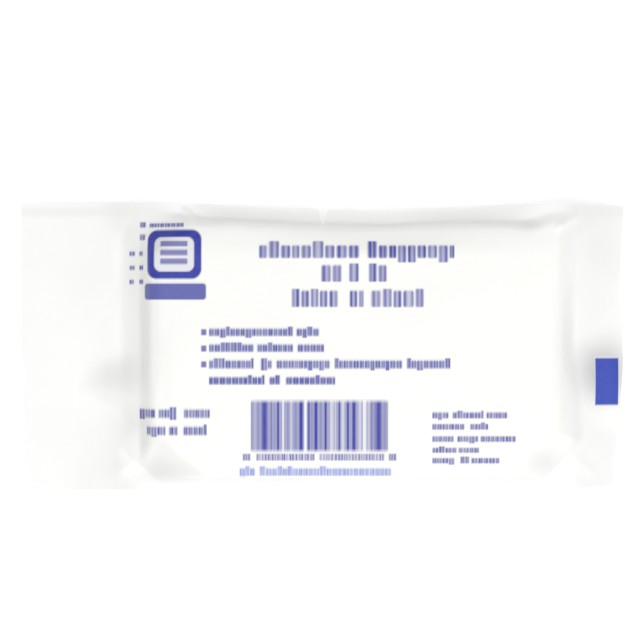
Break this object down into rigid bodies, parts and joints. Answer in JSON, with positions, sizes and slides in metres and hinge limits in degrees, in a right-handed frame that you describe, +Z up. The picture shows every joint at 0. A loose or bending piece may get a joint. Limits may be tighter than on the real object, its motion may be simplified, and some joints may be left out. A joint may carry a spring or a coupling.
{
  "type": "compress bandage in a sealed sachet",
  "caption": "Folded square dressing pad with gauze tails, sealed between two printed films with a wide grip margin at one end and a tear notch.",
  "frame": {"origin": "centre of the overall box at the height of the table", "axes": "+X along the wrapper's length, away from the wide grip margin, +Y towards the edge with the tear notch, +Z up out of the printed front"},
  "size_m": [0.1572, 0.0748, 0.0148],
  "materials": {
    "front_film": "white printed wrapper film, semi-gloss, blue print",
    "back_film": "plain white wrapper film, semi-gloss",
    "pad_facing": "soft non-stick dressing facing over wadding",
    "gauze": "open stretch gauze, off-white, matt"
  },
  "bodies": {
    "root": {"front_film": "front_film", "back_film": "back_film", "pad": "pad_facing", "lower_tail": "gauze", "upper_tail": "gauze"}
  },
  "joints": []
}
